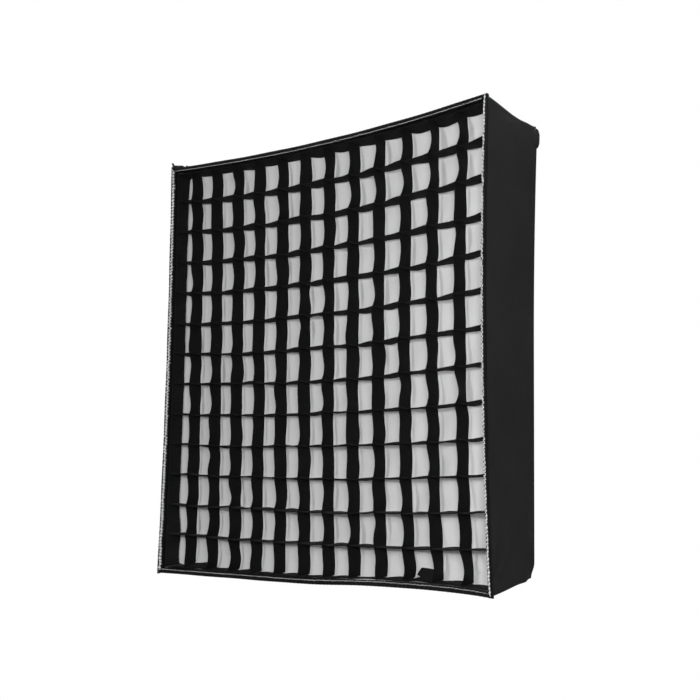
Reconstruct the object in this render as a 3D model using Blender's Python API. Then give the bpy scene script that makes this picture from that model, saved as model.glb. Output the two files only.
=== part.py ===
"""Square fabric softbox with an egg-crate grid, carried on a cross-shaped holder for a flat light panel.

Metres, +Z up. The light leaves along -Y. The origin is the centre of the ceiling of the stand socket,
where the tip of a stand's spigot stops. Run with: blender --background --python part.py
"""
from math import cos, pi, radians, sin

import bpy
from mathutils import Matrix, Vector

# Fabric box
FRONT_HALF = 0.3205          # half the outer width of the front rim, at its corners
REAR_HALF = 0.3060           # half the outer width at the back
BOX_DEPTH = 0.128            # front rim to rear hem
RIM_TO_SOCKET = 0.205        # front rim to the stand socket's axis
WALL = 0.0015                # quilted wall thickness
BINDING_DEPTH = 0.008        # binding tape folded over the front edge
BINDING_WIDTH = 0.0050
BINDING_PROUD = 0.0005
HEM_WIDTH = 0.022            # elastic hem turned in at the back
ROD_RADIUS = 0.0025
ROD_CLEAR = 0.0008           # rod to the walls
ROD_START = 0.0015           # behind the binding
ROD_STOP = 0.0045            # in front of the hem's outer face
GAP = 0.0003                 # between pieces that touch
MITRE_GAP = 0.00025
EDGE_STEPS = 12

# The fabric edges pull inwards between the corner rods, by this much at mid-length on the front rim
BOW = {"top": 0.0118, "right": 0.0080, "bottom": 0.0030, "left": 0.0045}

# Grid and diffuser
CELLS = 13
PITCH_X = 0.0481
PITCH_Z = 0.0469
GRID_SHIFT_X = -0.0018
GRID_SHIFT_Z = -0.0075
GRID_SETBACK = 0.0065        # front edges of the strips behind the rim
STRIP_DEPTH = 0.020
STRIP_THICK = 0.0010
SLOT_PLAY = 0.0003
STRIP_END_PLAY = 0.0004      # strip ends to the border bands, besides the gap
BAND_THICK = 0.0012
BAND_DEPTH = 0.0210
BAND_PROUD = 0.0005          # front edges of the bands in front of the strips
BAND_CORNER = 0.010          # the border bands stop short of the corner rods
INSERT_HALF = 0.3140         # half width of the grid border and of the diffuser
DIFFUSER_SETBACK = 0.0285
DIFFUSER_THICK = 0.0012
DIFFUSER_CORNER = 0.013

# Holder
PIVOT_Z = 0.034              # tilt axis above the socket's ceiling, and height of the box's centre
HUB_RADIUS = 0.050
HUB_FRONT = -0.0765
HUB_THICK = 0.0165
ARM_PLANE = -0.0700
ARM_PIVOT_RADIUS = 0.040
ARM_WIDTH = 0.012
ARM_THICK = 0.005
ARM_ROOT_RADIUS = 0.0045
TRUNNION_RADIUS = 0.0022
TRUNNION_HALF = 0.0105
TRUNNION_PLAY = 0.00015
TRUNNION_END_PLAY = 0.0005
ROOT_CLEAR = 0.0015          # arm's root to the inner end of its slot
CAP_RADIUS = 0.0095
CAP_THICK = 0.0072
CAP_SHORT = 0.0048           # the arm stops short of its cap's centre
CAP_INSET = 0.0225           # cap's centre inside the rear corner, on each axis
SLOT_CLEAR = 0.0006

# Tilt head and stand receiver
EAR_INNER = 0.0080
EAR_OUTER = 0.0140
EAR_RADIUS = 0.013
EAR_ROOT = 0.002             # ears start this deep in the yoke's plate
YOKE_PLATE_HALF = 0.016
YOKE_PLATE_THICK = 0.005
BOLT_RADIUS = 0.0040
BOLT_HEAD_RADIUS = 0.0075
BOLT_HEAD_THICK = 0.005
BOLT_HEAD_ROOT = 0.002
BOLT_TAIL = 0.003            # shank past the lever
FIT_PLAY = 0.0002            # round a bolt, a screw or an arm in its cap
TONGUE_HALF = 0.0075
TONGUE_RADIUS = 0.0125
TONGUE_ROOT = 0.003
BLOCK_HALF_X = 0.0138
BLOCK_HALF_Y = 0.0150
BLOCK_TOP = 0.0060
SOCKET_RADIUS = 0.00815      # takes a 16 mm spigot
SOCKET_DEPTH = 0.038
LEVER_LENGTH = 0.046
LEVER_HUB_RADIUS = 0.0095
LEVER_TIP_RADIUS = 0.006
LEVER_THICK = 0.009
KNOB_Z = -0.022
KNOB_RADIUS = 0.0135
KNOB_LOBES = 5
KNOB_LOBE = 0.0020
KNOB_THICK = 0.015
KNOB_STANDOFF = 0.005        # knob to the back of the receiver
KNOB_STEPS = 40
SCREW_RADIUS = 0.0030
SCREW_SHORT = 0.0004         # screw's tip to the socket's wall
SCREW_ROOT = 0.004           # screw's depth in the knob
CUT_REACH = 0.05             # how far a cutter runs past what it cuts

RIM_Y = -RIM_TO_SOCKET
REAR_Y = RIM_Y + BOX_DEPTH
CENTRE = Vector((0, 0, PIVOT_Z))
SIDES = {"top": 0, "right": 90, "bottom": 180, "left": 270}
CORNERS = {"top_right": 45, "bottom_right": 135, "bottom_left": 225, "top_left": 315}


def clear_scene():
    for thing in list(bpy.data.objects):
        bpy.data.objects.remove(thing, do_unlink=True)


def make_material(name, colour, roughness, metallic=0.0):
    material = bpy.data.materials.new(name)
    material.use_nodes = True
    shader = material.node_tree.nodes["Principled BSDF"]
    shader.inputs["Base Color"].default_value = (*colour, 1)
    shader.inputs["Roughness"].default_value = roughness
    shader.inputs["Metallic"].default_value = metallic
    return material


def add_object(name, vertices, faces, material, place=Matrix()):
    mesh = bpy.data.meshes.new(name)
    mesh.from_pydata([tuple(vertex) for vertex in vertices], [], faces)
    mesh.validate()
    thing = bpy.data.objects.new(name, mesh)
    bpy.context.scene.collection.objects.link(thing)
    thing.matrix_world = place
    if material:
        mesh.materials.append(material)
    return thing


def prism(name, outline, low, high, axis, material, place=Matrix()):
    """Extrudes an anticlockwise outline, seen from the positive end of the axis, from low to high."""
    count = len(outline)
    puts = {"X": lambda a, b, h: (h, a, b), "Y": lambda a, b, h: (b, h, a), "Z": lambda a, b, h: (a, b, h)}
    put = puts[axis]
    vertices = [put(a, b, low) for a, b in outline] + [put(a, b, high) for a, b in outline]
    sides = [(i, (i + 1) % count, count + (i + 1) % count, count + i) for i in range(count)]
    faces = sides + [tuple(reversed(range(count))), tuple(range(count, 2 * count))]
    return add_object(name, vertices, faces, material, place)


def block(name, low, high, material=None, place=Matrix()):
    outline = [(low[0], low[1]), (high[0], low[1]), (high[0], high[1]), (low[0], high[1])]
    return prism(name, outline, low[2], high[2], "Z", material, place)


def circle(radius, steps=24, centre=(0, 0), start=0, turn=360):
    angles = [radians(start + turn * i / steps) for i in range(steps if turn == 360 else steps + 1)]
    return [(centre[0] + radius * cos(angle), centre[1] + radius * sin(angle)) for angle in angles]


def combine(target, tool, operation):
    """Applies a Boolean with a helper object, which the build then leaves out."""
    modifier = target.modifiers.new(tool.name, "BOOLEAN")
    modifier.operation = operation
    modifier.solver = "EXACT"
    modifier.object = tool
    tool.hide_render = True
    tool.display_type = "WIRE"


def smooth(thing, angle=35):
    thing.data.shade_smooth()
    thing.data.set_sharp_from_angle(angle=radians(angle))
    return thing


def side_frame(side):
    """Turns the top side's coordinates into another side's: X along the edge, Z outwards."""
    return Matrix.Translation(CENTRE) @ Matrix.Rotation(radians(SIDES[side]), 4, "Y")


def half_width(setback):
    """Outer half width of the box at a distance behind the rim."""
    return FRONT_HALF + (REAR_HALF - FRONT_HALF) * setback / BOX_DEPTH


def bow_at(side, along, half, setback=0.0):
    """How far an edge is pulled in: a parabola along the edge that fades out towards the back."""
    fade = 1 - setback / BOX_DEPTH
    return BOW[side] * fade * (1 - (along / half) ** 2)


def edge_bar(name, side, sections, material):
    """A mitred bar along one side. Each section is a corner of the bar's profile: setback and distance
    inside the outer face, listed anticlockwise when seen along the edge."""
    count = len(sections)
    vertices = []
    for step in range(EDGE_STEPS + 1):
        share = 2 * step / EDGE_STEPS - 1
        for setback, inside in sections:
            half = half_width(setback) - inside
            along = share * (half - MITRE_GAP)
            vertices.append((along, RIM_Y + setback, half - bow_at(side, along, half, setback)))
    faces = [tuple(reversed(range(count)))]
    for step in range(EDGE_STEPS):
        for i in range(count):
            j = (i + 1) % count
            first, second = step * count, (step + 1) * count
            faces.append((first + i, first + j, second + j, second + i))
    faces.append(tuple(EDGE_STEPS * count + i for i in range(count)))
    return add_object(name, vertices, faces, material, side_frame(side))


def build_shell(fabric, tape, elastic, glass_fibre):
    front = BINDING_DEPTH + GAP
    rear = BOX_DEPTH - WALL
    for side in SIDES:
        wall = [(front, 0), (front, WALL), (rear - GAP, WALL), (rear - GAP, 0)]
        edge_bar(f"wall_{side}", side, wall, fabric)
        inner = BINDING_WIDTH - BINDING_PROUD
        binding = [(0, -BINDING_PROUD), (0, inner), (BINDING_DEPTH, inner), (BINDING_DEPTH, -BINDING_PROUD)]
        edge_bar(f"rim_binding_{side}", side, binding, tape)
        hem = [(rear, 0), (rear, HEM_WIDTH), (BOX_DEPTH, HEM_WIDTH), (BOX_DEPTH, 0)]
        edge_bar(f"rear_hem_{side}", side, hem, elastic)
    for corner, angle in CORNERS.items():
        build_rod(corner, angle, glass_fibre)


def build_rod(corner, angle, material):
    """A straight rod in the seam of two walls, from the rim binding to the rear hem."""
    ends = []
    for setback in (BINDING_DEPTH + ROD_START, BOX_DEPTH - ROD_STOP):
        offset = half_width(setback) - WALL - ROD_RADIUS - ROD_CLEAR
        across = Vector((sin(radians(angle)), 0, cos(radians(angle)))) * offset * 2 ** 0.5
        ends.append(CENTRE + across + Vector((0, RIM_Y + setback, 0)))
    run = ends[1] - ends[0]
    turn = run.to_track_quat("Z", "X").to_matrix().to_4x4()
    place = Matrix.Translation(ends[0]) @ turn
    smooth(prism(f"corner_rod_{corner}", circle(ROD_RADIUS, 16), 0, run.length, "Z", material, place))


def insert_edge(side):
    """Distance of the straight edge that the grid border and the diffuser share on one side. It lies
    inside the bowed rim at mid-length, so both come out forwards past it."""
    return INSERT_HALF - BOW[side]


def crossings(pitch, shift):
    return [shift + pitch * (i - (CELLS - 2) / 2) for i in range(CELLS - 1)]


def build_grid(fabric):
    columns = crossings(PITCH_X, GRID_SHIFT_X)
    rows = crossings(PITCH_Z, GRID_SHIFT_Z)
    for number, x in enumerate(columns, 1):
        outline = comb([-strip_end("bottom"), strip_end("top")], rows, opens_back=True)
        place = Matrix.Translation(CENTRE + Vector((x, 0, 0)))
        prism(f"grid_upright_{number:02d}", outline, -STRIP_THICK / 2, STRIP_THICK / 2, "X", fabric, place)
    for number, z in enumerate(rows, 1):
        slotted = comb([-strip_end("left"), strip_end("right")], columns, opens_back=False)
        outline = [(b, a) for a, b in reversed(slotted)]
        place = Matrix.Translation(CENTRE + Vector((0, 0, z)))
        prism(f"grid_cross_{number:02d}", outline, -STRIP_THICK / 2, STRIP_THICK / 2, "Z", fabric, place)
    for side in SIDES:
        build_band(side, fabric)


def strip_end(side):
    return insert_edge(side) - BAND_THICK - GAP - STRIP_END_PLAY


def comb(ends, crossing, opens_back):
    """Outline of a strip as (Y, run) with a half-depth slot at each crossing, from the front edge or
    from the back edge, so that two sets of strips slide together."""
    front = RIM_Y + GRID_SETBACK
    back = front + STRIP_DEPTH
    middle = (front + back) / 2
    half = STRIP_THICK / 2 + SLOT_PLAY
    edge, bottom = (back, middle - SLOT_PLAY) if opens_back else (front, middle + SLOT_PLAY)
    slotted = []
    for run in crossing:
        slotted += [(edge, run - half), (bottom, run - half), (bottom, run + half), (edge, run + half)]
    if opens_back:
        return [(front, ends[1]), (front, ends[0]), (back, ends[0])] + slotted + [(back, ends[1])]
    return [(back, ends[0]), (back, ends[1]), (front, ends[1])] + slotted[::-1] + [(front, ends[0])]


def build_band(side, material):
    """A straight border band of the grid, which stops short of the corners."""
    front = RIM_Y + GRID_SETBACK - BAND_PROUD
    edge = insert_edge(side)
    along = INSERT_HALF - BAND_CORNER
    block(f"grid_band_{side}", (-along, front, edge - BAND_THICK), (along, front + BAND_DEPTH, edge),
          material, side_frame(side))


def build_diffuser(material):
    """A flat sheet with its corners cut to pass the rods."""
    outline = []
    for side in SIDES:
        frame = Matrix.Rotation(radians(SIDES[side]), 3, "Y")
        for end in (-1, 1):
            point = frame @ Vector((end * (INSERT_HALF - DIFFUSER_CORNER), 0, insert_edge(side)))
            outline.append((point.z, point.x))
    low = RIM_Y + DIFFUSER_SETBACK
    prism("diffuser", outline, low, low + DIFFUSER_THICK, "Y", material, Matrix.Translation(CENTRE))


def build_hub(plastic):
    hub = prism("cross_hub", circle(HUB_RADIUS, 48), HUB_FRONT, HUB_FRONT + HUB_THICK, "Y", plastic,
                Matrix.Translation(CENTRE))
    half = ARM_WIDTH / 2 + SLOT_CLEAR
    inner = ARM_PIVOT_RADIUS - ARM_ROOT_RADIUS - ROOT_CLEAR
    front = ARM_PLANE - ARM_ROOT_RADIUS - SLOT_CLEAR
    for corner, angle in CORNERS.items():
        turn = Matrix.Translation(CENTRE) @ Matrix.Rotation(radians(angle), 4, "Y")
        slot = block(f"cut_slot_{corner}", (-half, front, inner), (half, 0, HUB_RADIUS + CUT_REACH),
                     None, turn)
        combine(hub, slot, "DIFFERENCE")
        reach = TRUNNION_HALF + TRUNNION_END_PLAY
        hole = prism(f"cut_pin_{corner}", circle(TRUNNION_RADIUS + TRUNNION_PLAY), -reach, reach, "X", None,
                     turn @ Matrix.Translation((0, ARM_PLANE, ARM_PIVOT_RADIUS)))
        combine(hub, hole, "DIFFERENCE")
    smooth(hub)


def build_arm(corner, angle, metal, plastic):
    """A flat arm that folds backwards on its own cross pin; its origin is on that pin."""
    cap_distance = (REAR_HALF - CAP_INSET) * 2 ** 0.5 - ARM_PIVOT_RADIUS
    place = Matrix.Translation(CENTRE + Vector((0, ARM_PLANE, 0))) @ Matrix.Rotation(radians(angle), 4, "Y")
    place = place @ Matrix.Translation((0, 0, ARM_PIVOT_RADIUS))
    half = ARM_WIDTH / 2
    end = cap_distance - CAP_SHORT
    arm = block(f"holder_arm_{corner}", (-half, -ARM_THICK / 2, 0), (half, ARM_THICK / 2, end), metal, place)
    root = prism(f"add_root_{corner}", circle(ARM_ROOT_RADIUS), -half, half, "X", None, place)
    pin = prism(f"add_pin_{corner}", circle(TRUNNION_RADIUS), -TRUNNION_HALF, TRUNNION_HALF, "X", None, place)
    combine(arm, root, "UNION")
    combine(arm, pin, "UNION")
    smooth(arm)
    cap_front = REAR_Y + GAP - ARM_PLANE
    cap = prism(f"arm_cap_{corner}", circle(CAP_RADIUS, 28, (cap_distance, 0)), cap_front,
                cap_front + CAP_THICK, "Y", plastic, place)
    pocket = block(f"cut_pocket_{corner}", (-half - FIT_PLAY, -ARM_THICK / 2 - FIT_PLAY, 0),
                   (half + FIT_PLAY, ARM_THICK / 2 + FIT_PLAY, end + FIT_PLAY), None, place)
    combine(cap, pocket, "DIFFERENCE")
    smooth(cap)


def build_yoke(metal):
    """Two ears that straddle the receiver's tongue, on a plate against the back of the hub."""
    plate_front = HUB_FRONT + HUB_THICK + GAP
    half = YOKE_PLATE_HALF
    yoke = block("tilt_yoke", (-half, plate_front, -half), (half, plate_front + YOKE_PLATE_THICK, half),
                 metal, Matrix.Translation(CENTRE))
    root = plate_front + EAR_ROOT
    ear = [(root, EAR_RADIUS), (root, -EAR_RADIUS)]
    ear += circle(EAR_RADIUS, 16, start=-90, turn=180)
    for name, low, high in (("left", -EAR_OUTER, -EAR_INNER), ("right", EAR_INNER, EAR_OUTER)):
        tool = prism(f"add_ear_{name}", ear, low, high, "X", None, Matrix.Translation(CENTRE))
        combine(yoke, tool, "UNION")
    hole = prism("cut_yoke_hole", circle(BOLT_RADIUS + FIT_PLAY), -CUT_REACH, CUT_REACH, "X", None,
                 Matrix.Translation(CENTRE))
    combine(yoke, hole, "DIFFERENCE")
    smooth(yoke)


def build_bolt(metal):
    """The tilt bolt: a plain shank with a head outside the left ear."""
    shank_end = EAR_OUTER + LEVER_THICK + BOLT_TAIL
    bolt = prism("tilt_bolt", circle(BOLT_RADIUS), -EAR_OUTER - BOLT_HEAD_ROOT, shank_end, "X", metal,
                 Matrix.Translation(CENTRE))
    head = prism("add_bolt_head", circle(BOLT_HEAD_RADIUS, 6), -EAR_OUTER - GAP - BOLT_HEAD_THICK,
                 -EAR_OUTER - GAP, "X", None, Matrix.Translation(CENTRE))
    combine(bolt, head, "UNION")
    smooth(bolt)


def build_lever(plastic):
    """The tilt lock's handle, which points backwards when it is tight; its origin is on the bolt."""
    low = EAR_OUTER + GAP
    outline = circle(LEVER_HUB_RADIUS, 18, start=35, turn=290)
    outline += circle(LEVER_TIP_RADIUS, 10, (LEVER_LENGTH - LEVER_TIP_RADIUS, 0), start=-85, turn=170)
    lever = prism("tilt_lever", outline, low, low + LEVER_THICK, "X", plastic, Matrix.Translation(CENTRE))
    hole = prism("cut_lever_hole", circle(BOLT_RADIUS + FIT_PLAY), 0, CUT_REACH, "X", None,
                 Matrix.Translation(CENTRE))
    combine(lever, hole, "DIFFERENCE")
    smooth(lever)


def build_receiver(metal):
    """A block over the stand's spigot with a rounded tongue on top for the tilt joint."""
    receiver = block("stand_receiver", (-BLOCK_HALF_X, -BLOCK_HALF_Y, -SOCKET_DEPTH),
                     (BLOCK_HALF_X, BLOCK_HALF_Y, BLOCK_TOP), metal)
    foot = BLOCK_TOP - TONGUE_ROOT - PIVOT_Z
    tongue = circle(TONGUE_RADIUS, 16, start=0, turn=180) + [(-TONGUE_RADIUS, foot), (TONGUE_RADIUS, foot)]
    tool = prism("add_tongue", tongue, -TONGUE_HALF, TONGUE_HALF, "X", None, Matrix.Translation(CENTRE))
    combine(receiver, tool, "UNION")
    hole = prism("cut_tongue_hole", circle(BOLT_RADIUS + FIT_PLAY), -CUT_REACH, CUT_REACH, "X", None,
                 Matrix.Translation(CENTRE))
    combine(receiver, hole, "DIFFERENCE")
    socket = prism("cut_socket", circle(SOCKET_RADIUS, 32), -SOCKET_DEPTH - CUT_REACH, 0, "Z", None)
    combine(receiver, socket, "DIFFERENCE")
    screw = prism("cut_screw", circle(SCREW_RADIUS + FIT_PLAY), 0, CUT_REACH, "Y", None,
                  Matrix.Translation((0, 0, KNOB_Z)))
    combine(receiver, screw, "DIFFERENCE")
    smooth(receiver)


def build_knob(plastic):
    """The clamp knob with its screw, which bears on the spigot from the back."""
    start = BLOCK_HALF_Y + KNOB_STANDOFF
    lobed = []
    for step in range(KNOB_STEPS):
        angle = 2 * pi * step / KNOB_STEPS
        radius = KNOB_RADIUS + KNOB_LOBE * cos(KNOB_LOBES * angle)
        lobed.append((radius * cos(angle), radius * sin(angle)))
    place = Matrix.Translation((0, 0, KNOB_Z))
    knob = prism("stand_knob", lobed, start, start + KNOB_THICK, "Y", plastic, place)
    screw = prism("add_screw", circle(SCREW_RADIUS), SOCKET_RADIUS + SCREW_SHORT, start + SCREW_ROOT, "Y",
                  None, place)
    combine(knob, screw, "UNION")
    smooth(knob)


def main():
    clear_scene()
    fabric = make_material("black_fabric", (0.020, 0.020, 0.021), 0.75)
    grid_fabric = make_material("grid_fabric", (0.012, 0.012, 0.013), 0.85)
    tape = make_material("binding_tape", (0.016, 0.016, 0.017), 0.6)
    elastic = make_material("elastic_hem", (0.018, 0.018, 0.018), 0.8)
    white = make_material("diffusion_fabric", (0.75, 0.76, 0.78), 0.7)
    glass_fibre = make_material("glass_fibre", (0.10, 0.10, 0.10), 0.4)
    alloy = make_material("black_alloy", (0.03, 0.03, 0.032), 0.35, 0.8)
    plastic = make_material("black_plastic", (0.02, 0.02, 0.02), 0.45)
    steel = make_material("steel", (0.55, 0.55, 0.56), 0.3, 1.0)
    build_shell(fabric, tape, elastic, glass_fibre)
    build_grid(grid_fabric)
    build_diffuser(white)
    build_hub(plastic)
    for corner, angle in CORNERS.items():
        build_arm(corner, angle, alloy, plastic)
    build_yoke(alloy)
    build_bolt(steel)
    build_lever(plastic)
    build_receiver(alloy)
    build_knob(plastic)


main()
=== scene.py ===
"""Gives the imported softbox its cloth, stitching and finishes, around the CAD frame.

The box is cloth held square by four rods: walls, bound rim, elastic hem, diffuser and an egg-crate grid
of soft strips. Everything is in metres in the frame's own axes, with the light leaving along -Y.
"""
import logging
from dataclasses import dataclass, field
from enum import Enum
from math import cos, pi, radians, sin
from typing import Any, Optional, Sequence

import bmesh
import bpy
import numpy as np
from mathutils import Matrix, Vector


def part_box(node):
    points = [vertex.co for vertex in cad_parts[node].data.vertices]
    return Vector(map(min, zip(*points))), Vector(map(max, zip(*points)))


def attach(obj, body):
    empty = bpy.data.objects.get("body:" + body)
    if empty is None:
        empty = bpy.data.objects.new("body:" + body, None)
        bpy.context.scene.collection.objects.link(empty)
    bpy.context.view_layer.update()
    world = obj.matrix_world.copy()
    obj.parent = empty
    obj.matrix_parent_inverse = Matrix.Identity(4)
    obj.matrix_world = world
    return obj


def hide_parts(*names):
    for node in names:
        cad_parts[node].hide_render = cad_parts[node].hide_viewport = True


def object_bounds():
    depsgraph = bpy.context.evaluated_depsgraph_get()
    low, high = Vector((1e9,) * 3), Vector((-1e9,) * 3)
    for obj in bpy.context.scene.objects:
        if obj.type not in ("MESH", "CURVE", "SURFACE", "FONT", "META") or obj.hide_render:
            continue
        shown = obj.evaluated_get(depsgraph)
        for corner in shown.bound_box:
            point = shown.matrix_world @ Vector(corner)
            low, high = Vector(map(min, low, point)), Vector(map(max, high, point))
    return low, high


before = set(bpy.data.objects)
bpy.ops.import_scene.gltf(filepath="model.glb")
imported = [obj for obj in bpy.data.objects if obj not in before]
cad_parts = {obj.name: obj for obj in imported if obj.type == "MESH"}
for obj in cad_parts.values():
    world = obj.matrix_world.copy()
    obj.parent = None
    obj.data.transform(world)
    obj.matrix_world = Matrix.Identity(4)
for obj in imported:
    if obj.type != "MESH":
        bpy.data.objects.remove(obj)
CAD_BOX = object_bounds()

Array = np.ndarray
MILLIMETRE = 0.001
PER_MILLIMETRE = 1000.0
log = logging.getLogger("softbox")


class Side(Enum):
    """A side of the square box, with the turn about Y that brings the top side round to it."""

    TOP = 0
    RIGHT = 90
    BOTTOM = 180
    LEFT = 270

    @property
    def word(self) -> str:
        """The side's name as the CAD nodes spell it."""
        return self.name.lower()


# --- surfaces -------------------------------------------------------------------------------------


def ease(x: Array) -> Array:
    """Smooth step: 3x^2 - 2x^3 on x held between 0 and 1."""
    x = np.clip(x, 0, 1)
    return x * x * (3 - 2 * x)


def bell(x: Array, at: float, reach: float, power: int = 2) -> Array:
    """A bell, 1 at its middle: e to the minus ((x - at) / reach) to an even power."""
    return np.exp(-((x - at) / reach) ** power)


def signed_power(x: Array, power: float) -> Array:
    """The size of x to a power, with the sign of x: below 1 it squares a circle's outline."""
    return np.sign(x) * np.abs(x) ** power


def mesh_grid(first: Array, second: Array) -> tuple[Array, Array]:
    """Two parameter grids, the first along rows."""
    return tuple(np.meshgrid(first, second, indexing="ij"))


def broken_line(knots: Array, cell: Array, local: Array) -> Array:
    """Places along a broken line through the knots, by cell number and share of the cell."""
    return knots[cell] + (knots[cell + 1] - knots[cell]) * local


def grid_quads(rows: int, columns: int, wrap: bool = False) -> Array:
    """Quads of a grid of points.

    Args:
        rows: points along the first parameter.
        columns: points along the second parameter.
        wrap: joins the last column to the first.
    Returns:
        Vertex numbers, four to a row, wound so that the normal is first tangent x second tangent.
    """
    last = columns if wrap else columns - 1
    i, j = np.meshgrid(np.arange(rows - 1), np.arange(last), indexing="ij")
    k = (j + 1) % columns
    quads = np.stack([i * columns + j, (i + 1) * columns + j, (i + 1) * columns + k, i * columns + k], -1)
    return quads.reshape(-1, 4)


def add_mesh(name: str, points: Array, faces: Sequence[Sequence[int]], uv: Optional[Array] = None,
             sharp: float = 50.0) -> bpy.types.Object:
    """Makes a smooth-shaded object at the origin.

    Args:
        name: the piece's name.
        points: vertex positions, one to a row.
        faces: vertex numbers of each face.
        uv: one pair to a vertex, in metres of cloth.
        sharp: edges that turn by more than this many degrees stay crisp.
    Returns:
        The new object.
    """
    mesh = bpy.data.meshes.new(name)
    mesh.from_pydata(points.tolist(), [], [list(map(int, face)) for face in faces])
    if uv is not None:
        corners = np.zeros(len(mesh.loops), np.int32)
        mesh.loops.foreach_get("vertex_index", corners)
        mesh.uv_layers.new(name="cloth").data.foreach_set("uv", uv[corners].astype(np.float32).ravel())
    mesh.shade_smooth()
    mesh.set_sharp_from_angle(angle=radians(sharp))
    piece = bpy.data.objects.new(name, mesh)
    bpy.context.scene.collection.objects.link(piece)
    return piece


def cloth_normals(points: Array) -> Array:
    """Unit normals of a grid of points: first tangent x second tangent."""
    normals = np.cross(np.gradient(points, axis=0), np.gradient(points, axis=1))
    return normals / np.maximum(np.linalg.norm(normals, axis=-1, keepdims=True), 1e-12)


def faces_inwards(points: Array, quads: Array) -> bool:
    """Whether a closed form's faces look inwards, by the sign of its volume about its middle.

    Args:
        points: vertex positions, one to a row.
        quads: vertex numbers of each face.
    Returns:
        True if the volume comes out below zero.
    """
    a, b, c = points[quads[:, 0]], points[quads[:, 1]], points[quads[:, 2]]
    return bool((np.cross(b - a, c - a) * (a - points.mean(0))).sum() < 0)


def sheet_solid(name: str, points: Array, uv: Array, thick: float) -> bpy.types.Object:
    """Closes a grid of points into a thin sheet: the grid moved half a thickness along its normal, the
    same moved back, and a rim of quads round the four edges.

    Args:
        name: the piece's name.
        points: rows x columns x 3, the sheet's middle surface.
        uv: rows x columns x 2, in metres of cloth.
        thick: the cloth's thickness.
    Returns:
        The new object.
    """
    rows, columns = points.shape[:2]
    shift = cloth_normals(points) * thick / 2
    vertices = np.concatenate([(points + shift).reshape(-1, 3), (points - shift).reshape(-1, 3)])
    top = grid_quads(rows, columns)
    count = rows * columns
    index = np.arange(count).reshape(rows, columns)
    loop = np.concatenate([index[:-1, 0], index[-1, :-1], index[:0:-1, -1], index[0, :0:-1]])
    after = np.roll(loop, -1)
    rim = np.stack([loop, loop + count, after + count, after], -1)
    faces = np.concatenate([top, top[:, ::-1] + count, rim])
    flat = uv.reshape(-1, 2)
    return add_mesh(name, vertices, faces, np.concatenate([flat, flat]))


def ring_solid(name: str, rings: Array, uv: Array, sharp: float = 50.0) -> bpy.types.Object:
    """Closes a stack of rings into one solid, with a flat face at each end, and turns it to face out.

    Args:
        name: the piece's name.
        rings: rings x points x 3.
        uv: rings x points x 2.
        sharp: crease angle in degrees.
    Returns:
        The new object.
    """
    count, around = rings.shape[:2]
    vertices = rings.reshape(-1, 3)
    quads = grid_quads(count, around, wrap=True)
    ends = [list(range(around)), list(range((count - 1) * around, count * around))[::-1]]
    faces = [list(q) for q in quads] + ends
    if faces_inwards(vertices, quads):
        faces = [face[::-1] for face in faces]
    return add_mesh(name, vertices, faces, uv.reshape(-1, 2), sharp)


# --- materials ------------------------------------------------------------------------------------


class Wire:
    """A number on its way through a material, so that shader maths reads as an expression."""

    def __init__(self, bench: "Bench", socket: bpy.types.NodeSocket) -> None:
        """Wraps an output socket."""
        self.bench, self.socket = bench, socket

    def _join(self, operation: str, *values: Any) -> "Wire":
        """Adds one Math node over the given wires and numbers."""
        node = self.bench.node("ShaderNodeMath", {"operation": operation}, dict(enumerate(values)))
        return Wire(self.bench, node.outputs[0])

    def __add__(self, other: Any) -> "Wire":
        """Sum."""
        return self._join("ADD", self, other)

    def __sub__(self, other: Any) -> "Wire":
        """Difference."""
        return self._join("SUBTRACT", self, other)

    def __rsub__(self, other: Any) -> "Wire":
        """Difference from a number."""
        return self._join("SUBTRACT", other, self)

    def __mul__(self, other: Any) -> "Wire":
        """Product."""
        return self._join("MULTIPLY", self, other)

    def __pow__(self, other: Any) -> "Wire":
        """Power."""
        return self._join("POWER", self, other)

    __radd__ = __add__
    __rmul__ = __mul__

    def sine(self) -> "Wire":
        """Sine of the value in radians."""
        return self._join("SINE", self)

    def size(self) -> "Wire":
        """Absolute value."""
        return self._join("ABSOLUTE", self)

    def over(self, low: float, high: float) -> "Wire":
        """0 below low, 1 above high, and an even slope between."""
        node = self.bench.node("ShaderNodeMapRange", {"clamp": True},
                               {"Value": self, "From Min": low, "From Max": high})
        return Wire(self.bench, node.outputs[0])


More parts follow.
